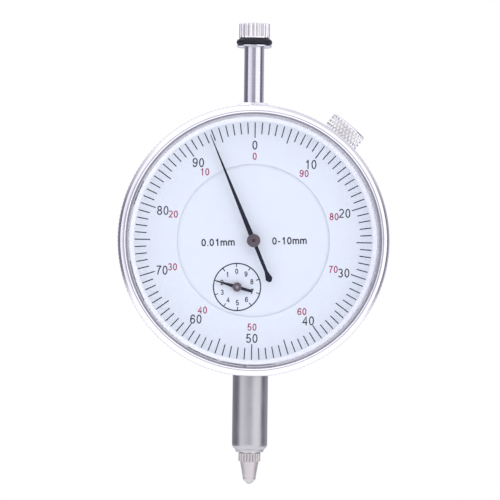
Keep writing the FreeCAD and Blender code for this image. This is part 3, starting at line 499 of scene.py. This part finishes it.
# ---------------------------------------------------------------- pieces
def bezel():
    """Knurled rim with a bright rounded face, and the skirt that runs in the case."""
    knurls, knurl_depth, knurl_runout = 200, 0.2, 0.35
    rear, plain_rear, plain_front = 10.2, 12.5, 13.7
    crest_r, lip_r, lip_drop, shoulder_r, shoulder = 28.7, 28.32, 0.22, BEZEL_R - 0.04, BEZEL_FRONT - 1.6
    groove_r, groove_rear, groove = 28.8, 15.4, BEZEL_FRONT - 0.46
    lip_edge_r, seat_r, seat, seat_rear = 28.45, 27.9, 14.2, 11.1
    skirt_r, skirt_bore_r, skirt_rear = 25.4, 24.2, 4.8
    catch_r, catch_rear, catch_front = 24.95, 7.9, 8.9
    rim = [(BEZEL_R - 0.35, rear), (BEZEL_R - 0.1, rear + 0.08), (BEZEL_R, rear + 0.3)]
    rim += spaced(rim[-1], (BEZEL_R, rear + 0.7), 3) + [(BEZEL_R, plain_rear)]
    rim += spaced((BEZEL_R, plain_front), (BEZEL_R, shoulder - 0.15), 5)
    face = [(crest_r + (shoulder_r - crest_r) * x, shoulder + (BEZEL_FRONT - shoulder) * y)
            for x, y in arc((0, 0), 1, 0, 90, 18)]
    face += [(crest_r + (crest_r - lip_r) * x, BEZEL_FRONT - lip_drop * (1 - y))
             for x, y in arc((0, 0), 1, 90, 170, 8)[1:]]
    lip = [(lip_r, groove + 0.12), (lip_edge_r, groove), (groove_r, groove), (groove_r, groove_rear),
           (lip_r, groove_rear), (lip_r, seat), (seat_r, seat), (seat_r, seat_rear)]
    skirt = [(skirt_bore_r, seat_rear), (skirt_bore_r, skirt_rear), (skirt_r, skirt_rear),
             (skirt_r, catch_rear), (catch_r, catch_rear), (catch_r, catch_front), (skirt_r, catch_front),
             (skirt_r, rear)]
    relief = straight_knurl(knurls, knurl_depth, rear + 0.25, shoulder + 0.45, knurl_runout)
    mesh = lathe("knurled_bezel", rim + face + lip + skirt, about_depth, knurls * 6, relief)
    coat(add_piece("knurled_bezel", mesh, "bezel", ["bezel"]), FINISHES["bezel_chrome"])


def snap_ring():
    """Sprung ring that holds the crystal, with a rounded inner edge and a gap between its ends."""
    low, high = (-corner.y / MM for corner in reversed(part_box("crystal_snap_ring")))
    inner, rounding, outer = 27.75, 0.22, 28.4
    half_gap, middle_angle, steps = 0.6, 266.5, 220
    section = [(outer, low), (outer, high), (inner + rounding + 0.03, high)]
    section += arc((inner + rounding, high - rounding), rounding, 90, 180, 8)
    section += [(inner, low)]
    builder = bmesh.new()
    rows = []
    for step in range(steps + 1):
        angle = math.radians(middle_angle + half_gap + (360 - 2 * half_gap) * step / steps)
        rows.append([builder.verts.new(about_depth(radius, angle, front)) for radius, front in section])
    for row, after in zip(rows, rows[1:]):
        for k in range(len(section)):
            j = (k + 1) % len(section)
            builder.faces.new((row[k], row[j], after[j], after[k]))
    builder.faces.new(rows[0])
    builder.faces.new(rows[-1])
    mesh = mesh_from("rounded_snap_ring", builder, 40)
    coat(add_piece("rounded_snap_ring", mesh, "bezel", ["crystal_snap_ring"]),
         FINISHES["ring_steel"])


def spindle_cap():
    """Coarsely knurled head, with a slightly dished top."""
    low, high = ((corner.z - CENTRE.z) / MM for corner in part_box("spindle_cap"))
    radius, ribs = (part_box("spindle_cap")[1].x - CENTRE.x) / MM, 18
    profile = [(0, low), (radius - 0.3, low)] + arc((radius - 0.3, low + 0.3), 0.3, -90, 0, 3)[1:]
    profile += spaced((radius, low + 0.3), (radius, low + 0.6), 3)
    profile += spaced((radius, low + 0.6), (radius, high - 0.12), 6)
    profile += [(radius - 0.12, high), (radius - 0.75, high), (radius - 1.0, high - 0.08), (0, high - 0.08)]
    relief = straight_knurl(ribs, 0.42, low + 0.2, high + 0.4, 0.3, 0.45)
    mesh = lathe("knurled_spindle_cap", profile, about_spindle, ribs * 18, relief)
    coat(add_piece("knurled_spindle_cap", mesh, "spindle", ["spindle_cap"]), CAP_METAL)


def contact_point():
    """Threaded shank, knurled collar and tapered nose, rounded over towards the ball that it holds."""
    ball_low, ball_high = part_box("contact_ball")
    ball_r = (ball_high.x - ball_low.x) / 2 / MM
    ball_at = (ball_low.z - CENTRE.z) / MM + ball_r
    shank_top = (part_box("contact_point")[1].z - CENTRE.z) / MM
    radius = (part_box("contact_point")[1].x - CENTRE.x) / MM
    top, ribs, collar_end = shank_top - 4.4, 20, shank_top - 6.4
    shank = [(0, shank_top), (1.05, shank_top), (1.23, shank_top - 0.2), (1.23, top + 0.15), (1.1, top)]
    collar = [(radius - 0.15, top)] + arc((radius - 0.15, top - 0.15), 0.15, 90, 0, 3)[1:]
    collar += spaced((radius, top - 0.15), (radius, top - 0.45), 3)
    collar += spaced((radius, top - 0.45), (radius, collar_end + 0.45), 2)
    collar += spaced((radius, collar_end + 0.45), (radius, collar_end + 0.15), 3) + [(2.12, collar_end)]
    taper = spaced((2.08, collar_end - 0.05), (1.5, collar_end - 3.4), 4)
    nose = arc((0.48, collar_end - 3.65), 1.0, 10, -52, 7)
    cup = [(ball_r * math.sin(t), ball_at + ball_r * math.cos(t)) for t in (1.75, 1.3, 0.9, 0.5, 0.2)]
    profile = shank + collar + taper + nose + cup + [(0, ball_at + ball_r)]
    relief = straight_knurl(ribs, 0.27, collar_end + 0.1, top - 0.05, 0.25, 0.55)
    mesh = lathe("knurled_contact_point", profile, about_spindle, ribs * 14, relief)
    coat(add_piece("knurled_contact_point", mesh, "spindle", ["contact_point"]), POINT_METAL)


def lock_knob():
    """Diamond-knurled head with a chamfered end, and its threaded stud."""
    along = [(LOCK_AXIS.dot(v.co - LOCK_ORIGIN)) / MM for v in frame["nodes"]["lock_knob"].data.vertices]
    stud_end, outer = min(along), max(along)
    inner, radius, stud_r, diamonds = outer - 4.8, 4.35, 1.5, 28
    profile = [(0, stud_end + 0.85), (0.7, stud_end + 0.85), (0.7, stud_end), (stud_r - 0.2, stud_end)]
    profile += [(stud_r, stud_end + 0.2), (stud_r, inner), (radius - 0.5, inner)]
    profile += [(radius - 0.12, inner + 0.12)]
    profile += spaced((radius, inner + 0.3), (radius, outer - 0.55), 40)
    profile += arc((radius - 0.5, outer - 0.5), 0.5, 15, 90, 5)
    profile += [(radius - 1.3, outer), (radius - 1.45, outer - 0.06), (0, outer - 0.06)]
    lead = 2 * math.pi * radius / math.tan(math.radians(30))
    relief = diamond_knurl(diamonds, lead, 0.46, inner + 0.15, outer - 0.3, 0.6)
    mesh = lathe("diamond_knurled_knob", profile, about_lock, diamonds * 10, relief)
    piece = add_piece("diamond_knurled_knob", mesh, "lock_knob", ["lock_knob"])
    coat(piece, LOCK_METAL)


def wire_mesh(name, path, at, wire):
    """Round wire along a path that is given about a point."""
    curve = bpy.data.curves.new(name, "CURVE")
    curve.dimensions = "3D"
    curve.bevel_depth = wire
    curve.bevel_resolution = 3
    curve.use_fill_caps = True
    spline = curve.splines.new("NURBS")
    spline.points.add(len(path) - 1)
    for point, (x, y, z) in zip(spline.points, path):
        point.co = (at[0] + x, at[1] + y, z, 1)
    spline.order_u = 3
    spline.use_endpoint_u = True
    holder = bpy.data.objects.new(name, curve)
    mesh = bpy.data.meshes.new_from_object(holder)
    bpy.data.objects.remove(holder)
    mesh.shade_smooth()
    return mesh


def return_spring():
    """Close coil with a hook at each end. One hook stays on the post, the other follows the cross pin."""
    low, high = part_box("return_spring")
    at = ((low.x + high.x) / 2, (low.y + high.y) / 2)
    wire, coil_r, loop_r, turns, per_turn = 0.16 * MM, 1.1 * MM, 0.85 * MM, 18, 16
    bottom, top = low.z + 2 * loop_r + 3 * wire, high.z - 2 * loop_r - 3 * wire
    steps = [i / per_turn for i in range(turns * per_turn + 1)]
    coil = [(coil_r * math.cos(2 * math.pi * t), coil_r * math.sin(2 * math.pi * t),
             bottom + (top - bottom) * t / turns) for t in steps]
    lower = [(0, y, z) for y, z in arc((0, low.z + wire + loop_r), loop_r, 110, 420, 24)]
    upper = [(0, y, z) for y, z in arc((0, high.z - wire - loop_r), loop_r, -70, 240, 24)]
    for name, path, body, replaced in (("return_spring_coil", coil, "case", ["return_spring"]),
                                       ("return_spring_lower_hook", lower, "case", []),
                                       ("return_spring_upper_hook", upper, "spindle", [])):
        piece = add_piece(name, wire_mesh(name, path, at, wire), body, replaced)
        coat(piece, FINISHES["spring_steel"])
        if path is coil:
            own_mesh(piece)


def rubber_ring():
    """Cushion ring under the cap, round outside and squeezed a little flat."""
    low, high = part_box("cap_o_ring")
    half = (high.z - low.z) / 2 / MM
    height = (middle("cap_o_ring").z - CENTRE.z) / MM
    outer = (high.x - CENTRE.x) / MM
    inner = 2.26
    outside = arc((outer - half, height), half, -90, 90, 18)
    inside = arc((inner + half * 0.55, height), half, 90, 270, 10)
    inside = [(inner + (r - (inner - half * 0.45)) * 0.55, z) for r, z in inside]
    mesh = lathe("rubber_ring", outside + inside, about_spindle, 96, sharp=50)
    coat(add_piece("rubber_ring", mesh, "spindle", ["cap_o_ring"]), FINISHES["black_rubber"])


def ring_print():
    """A hundred marks and two rows of numbers on the turning ring, the numbers a little low and narrow."""
    turned, drop, narrow = 0.22, 0.25, 0.99
    long_mark, short_mark, mark_end, mark_width, marks_centre = 22.95, 23.85, 26.4, 0.23, (0, -0.1)
    marks, black, red = bmesh.new(), bmesh.new(), bmesh.new()
    for step in range(100):
        inner = long_mark if step % 5 == 0 else short_mark
        tick(marks, marks_centre, 90 - turned - 3.6 * step, inner, mark_end, mark_width, RING_FRONT)
    for step in range(10):
        for builder, number, radius, height, stroke in ((black, 10 * step, 21.5, 2.05, 0.25),
                                                        (red, (100 - 10 * step) % 100, 19.0, 1.6, 0.22)):
            x, z = polar(radius, 90 - turned - 36 * step)
            label(builder, str(number), (narrow * x, z - drop), height, 0.9, stroke, RING_FRONT)
    for name, builder, ink, slot in (("ring_marks", marks, BLACK_INK, "pointer_black"),
                                     ("ring_numbers_black", black, BLACK_INK, "pointer_black"),
                                     ("ring_numbers_red", red, RED_INK, None)):
        coat(add_piece(name, mesh_from(name, builder), "bezel"), ink)


def centre_print():
    """Reading and range at the sides, and the turn counter's own small scale."""
    turn = math.radians(2)
    texts, scale = bmesh.new(), bmesh.new()
    for words, x in (("0.01mm", -7.85), ("0-10mm", 8.05)):
        label(texts, words, (x, -0.2 + x * math.sin(turn)), 1.6, 1.0, 0.27, DISC_FRONT, turn)
    at = ((COUNTER_CENTRE.x - CENTRE.x) / MM, (COUNTER_CENTRE.z - CENTRE.z) / MM)
    scale_r, mark_inner, numbers_r, line_width, mark_width = 5.25, 4.45, 3.5, 0.26, 0.2
    circle_line(scale, at, scale_r, line_width, DISC_FRONT)
    for step in range(10):
        degrees = 92 + 36 * step
        tick(scale, at, degrees, mark_inner, scale_r, mark_width, DISC_FRONT)
        label(scale, str(step), polar(numbers_r, degrees, at), 1.15, 0.9, 0.19, DISC_FRONT, turn)
    for name, builder in (("centre_lettering", texts), ("counter_scale", scale)):
        coat(add_piece(name, mesh_from(name, builder), "case"), BLACK_INK)


# ---------------------------------------------------------------- surroundings
def studio():
    """A pale floor that curves up into a wall and overhead, seen by the camera only."""
    floor, wall_top, radius, corner, pole, segments = -0.12, 1.4, 2.0, 0.6, 0.001, 64
    profile = [(pole, floor)] + arc((radius - corner, floor + corner), corner, -90, 0, 12)
    profile += [(radius, wall_top)] + arc((radius - corner, wall_top), corner, 0, 90, 12)[1:]
    profile += [(pole, wall_top + corner)]
    builder = bmesh.new()
    turns = [2 * math.pi * i / segments for i in range(segments)]
    rings = [[builder.verts.new((r * math.cos(t), r * math.sin(t), z)) for t in turns] for r, z in profile]
    for low, high in zip(rings, rings[1:]):
        for i in range(segments):
            builder.faces.new((low[i], low[(i + 1) % segments], high[(i + 1) % segments], high[i]))
    mesh = mesh_from("cove", builder)
    cove = bpy.data.objects.new("cove", mesh)
    bpy.context.scene.collection.objects.link(cove)
    material = bpy.data.materials.new("pale_cove")
    material.use_nodes = True
    nodes, links = material.node_tree.nodes, material.node_tree.links
    nodes.remove(nodes["Principled BSDF"])
    glow = nodes.new("ShaderNodeEmission")
    glow.inputs["Color"].default_value = (1, 1, 1, 1)
    links.new(glow.outputs[0], nodes["Material Output"].inputs["Surface"])
    mesh.materials.append(material)
    for kind in ("diffuse", "glossy", "transmission", "volume_scatter", "shadow"):
        setattr(cove, f"visible_{kind}", False)


# brightness of the surroundings by direction. The first number is how many degrees a direction lies away
# from the camera's; the dark strips in the first two rows stand either side of the object.
RIGHT_SIDE = ((0, 0.42), (14, 0.42), (21, 1.5), (72, 1.5), (77, 0.2), (103, 0.2), (110, 0.5), (180, 0.65))
LEFT_SIDE = ((0, 0.42), (17, 0.46), (33, 1.05), (60, 1.3), (72, 1.3), (77, 0.2), (103, 0.2), (110, 0.24),
             (180, 0.6))
OPEN_SIDE = ((0, 0.55), (9, 0.55), (14, 1.4), (110, 1.4), (180, 0.5))
# how much of the strips shows by clock angle, anticlockwise from the right
STRIPS = ((-180, 1), (-165, 1), (-152, 0), (-34, 0), (-20, 1), (15, 1), (34, 0.45), (76, 0.4), (86, 0),
          (132, 0), (146, 0.5), (165, 1), (180, 1))
DIMMEST, BRIGHTEST = 0.2, 1.5
SHADE_TINT, LIGHT_TINT = (1.0, 0.94, 1.28), (0.99, 0.985, 1.05)


def surroundings():
    """Soft light panels round the camera, dark strips at both sides, and a dimmer room behind."""
    world = bpy.data.worlds.new("studio")
    bpy.context.scene.world = world
    world.use_nodes = True
    nodes, links = world.node_tree.nodes, world.node_tree.links

    def add(kind, inputs, output=0, **settings):
        node = nodes.new(kind)
        for setting, value in settings.items():
            setattr(node, setting, value)
        for socket, value in inputs.items():
            if isinstance(value, bpy.types.NodeSocket):
                links.new(value, node.inputs[socket])
            else:
                node.inputs[socket].default_value = value
        return node.outputs[output]

    def ramp(factor, stops, colours):
        shown = add("ShaderNodeValToRGB", {"Fac": factor})
        elements = shown.node.color_ramp.elements
        while len(elements) < len(stops):
            elements.new(1.0)
        for element, (at, _), colour in zip(elements, stops, colours):
            element.position, element.color = at, (*colour, 1)
        return shown

    def light_ramp(factor, stops):
        colours = []
        for _, level in stops:
            share = max(0.0, min(1.0, (level - DIMMEST) / (BRIGHTEST - DIMMEST)))
            tints = zip(SHADE_TINT, LIGHT_TINT)
            colours.append([level / 2 * (dim + (lit - dim) * share) for dim, lit in tints])
        return ramp(factor, [(degrees / 180, level) for degrees, level in stops], colours)

    way = add("ShaderNodeSeparateXYZ", {0: add("ShaderNodeTexCoord", {}, "Generated")}, "X").node.outputs
    ahead = add("ShaderNodeMath", {0: way["Y"], 1: -1.0}, operation="MULTIPLY")
    away = add("ShaderNodeMath", {0: ahead}, operation="ARCCOSINE")
    away = add("ShaderNodeMath", {0: away, 1: math.pi}, operation="DIVIDE")
    clock = add("ShaderNodeMath", {0: way["Z"], 1: way["X"]}, operation="ARCTAN2")
    clock = add("ShaderNodeMapRange", {"Value": clock, "From Min": -math.pi, "From Max": math.pi})
    rightward = add("ShaderNodeMapRange", {"Value": way["X"], "From Min": -0.1, "From Max": 0.1})
    strips = ramp(clock, [((at + 180) / 360, on) for at, on in STRIPS], [[on] * 3 for _, on in STRIPS])
    left, right = light_ramp(away, LEFT_SIDE), light_ramp(away, RIGHT_SIDE)
    sides = add("ShaderNodeMixRGB", {0: rightward, 1: left, 2: right})
    light = add("ShaderNodeMixRGB", {0: strips, 1: light_ramp(away, OPEN_SIDE), 2: sides})
    background = nodes["Background"]
    links.new(light, background.inputs["Color"])
    background.inputs["Strength"].default_value = 2.0


def camera():
    """Long lens, level with the dial and a little to its left, rolled as the object leans."""
    distance, aside, lean = 0.62, -0.016, math.radians(0.7)
    aim = CENTRE + Vector((-0.76, -13.0, -2.1)) * MM
    data = bpy.data.cameras.new("camera")
    data.lens = 197
    data.sensor_width = 36
    holder = bpy.data.objects.new("camera", data)
    holder.location = (aside, -distance, aim.z)
    facing = (aim - holder.location).to_track_quat("-Z", "Y")
    holder.rotation_euler = (facing.to_matrix() @ Matrix.Rotation(lean, 3, "Z")).to_euler()
    bpy.context.scene.collection.objects.link(holder)
    bpy.context.scene.camera = holder


for part in frame["record"]["subparts"]:
    coat(frame["nodes"][part["node"]], FINISHES[part["material_slot"]])
coat(frame["nodes"]["dial_spacer_ring"], SPACER_METAL)
# Painted highlight: the upper bushing gets the lightened copy of the stem steel in place of its own.
coat(frame["nodes"]["upper_bushing"], COLLAR_PAINTED_HIGHLIGHT_METAL)
coat(frame["nodes"]["centre_pinion"], DARK_ARBOR)
for make in (bezel, snap_ring, spindle_cap, contact_point, lock_knob, return_spring, rubber_ring, ring_print,
             centre_print, studio, surroundings, camera):
    make()
bpy.context.scene.view_settings.view_transform = "Standard"
